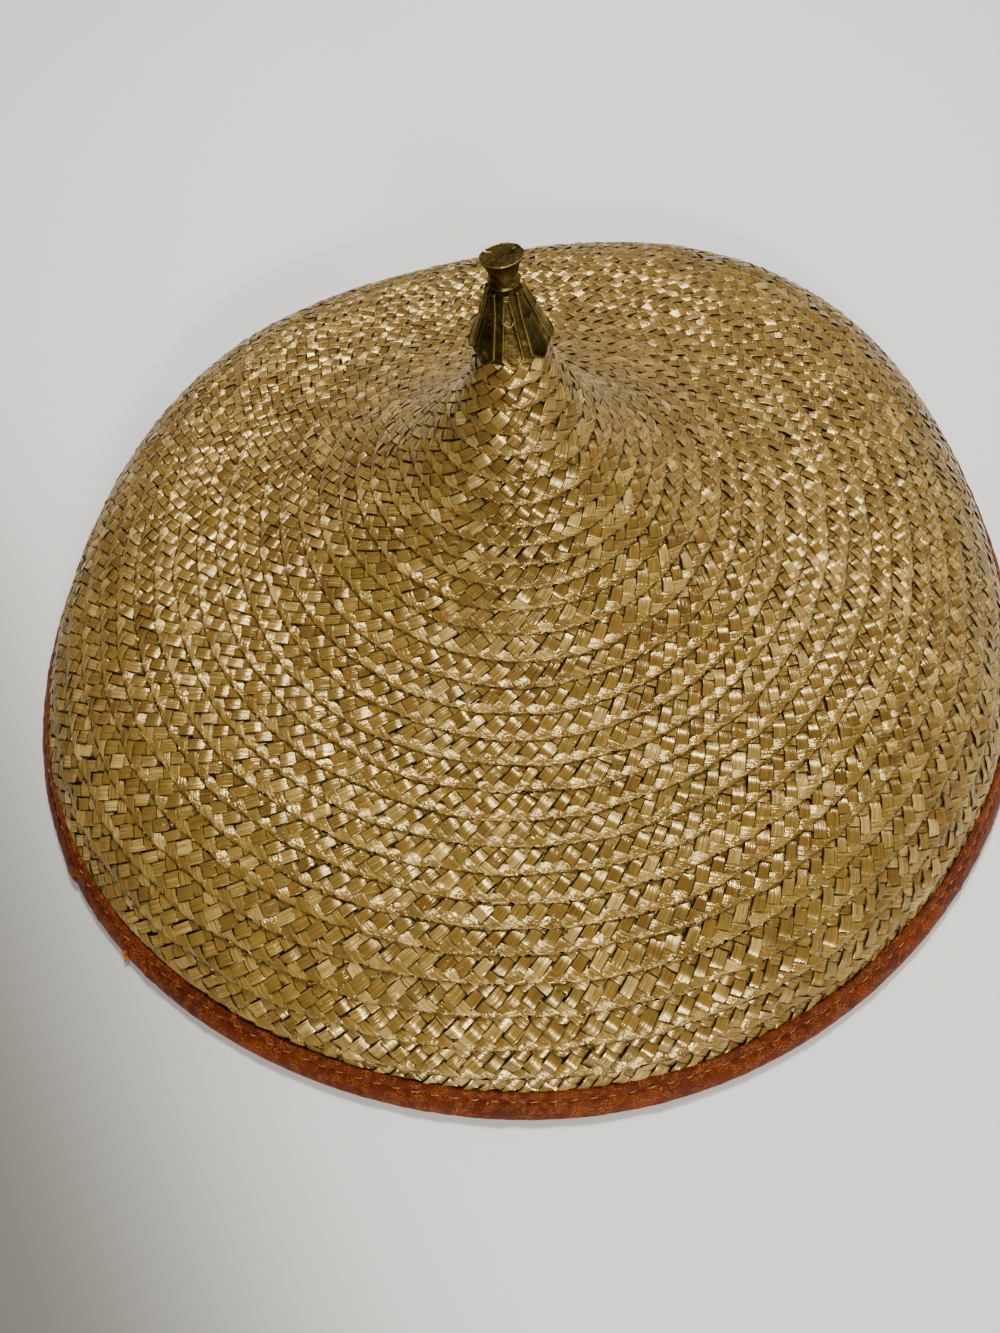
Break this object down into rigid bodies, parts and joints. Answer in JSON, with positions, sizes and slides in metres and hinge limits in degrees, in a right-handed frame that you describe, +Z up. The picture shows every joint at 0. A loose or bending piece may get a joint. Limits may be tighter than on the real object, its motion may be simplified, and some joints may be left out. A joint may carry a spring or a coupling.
{
  "type": "conical straw hat",
  "caption": "Wide hat of spirally sewn straw plait with a steep concave peak, a leather-bound drooping brim and a brass finial on the tip, lying on its rim",
  "frame": {"origin": "middle of the footprint's bounding box, on the surface that the rim rests on", "axes": "+Z up through the crown, -Y towards the side seen in the picture, +X to the right in the picture"},
  "size_m": [0.4068, 0.4308, 0.1699],
  "materials": {
    "straw": "satin plaited straw",
    "leather": "worn satin",
    "brass": "aged, dark olive patina"
  },
  "bodies": {
    "root": {"straw_body": "straw", "rim_binding": "leather", "brass_finial": "brass", "finial_pin": "brass"}
  },
  "joints": []
}
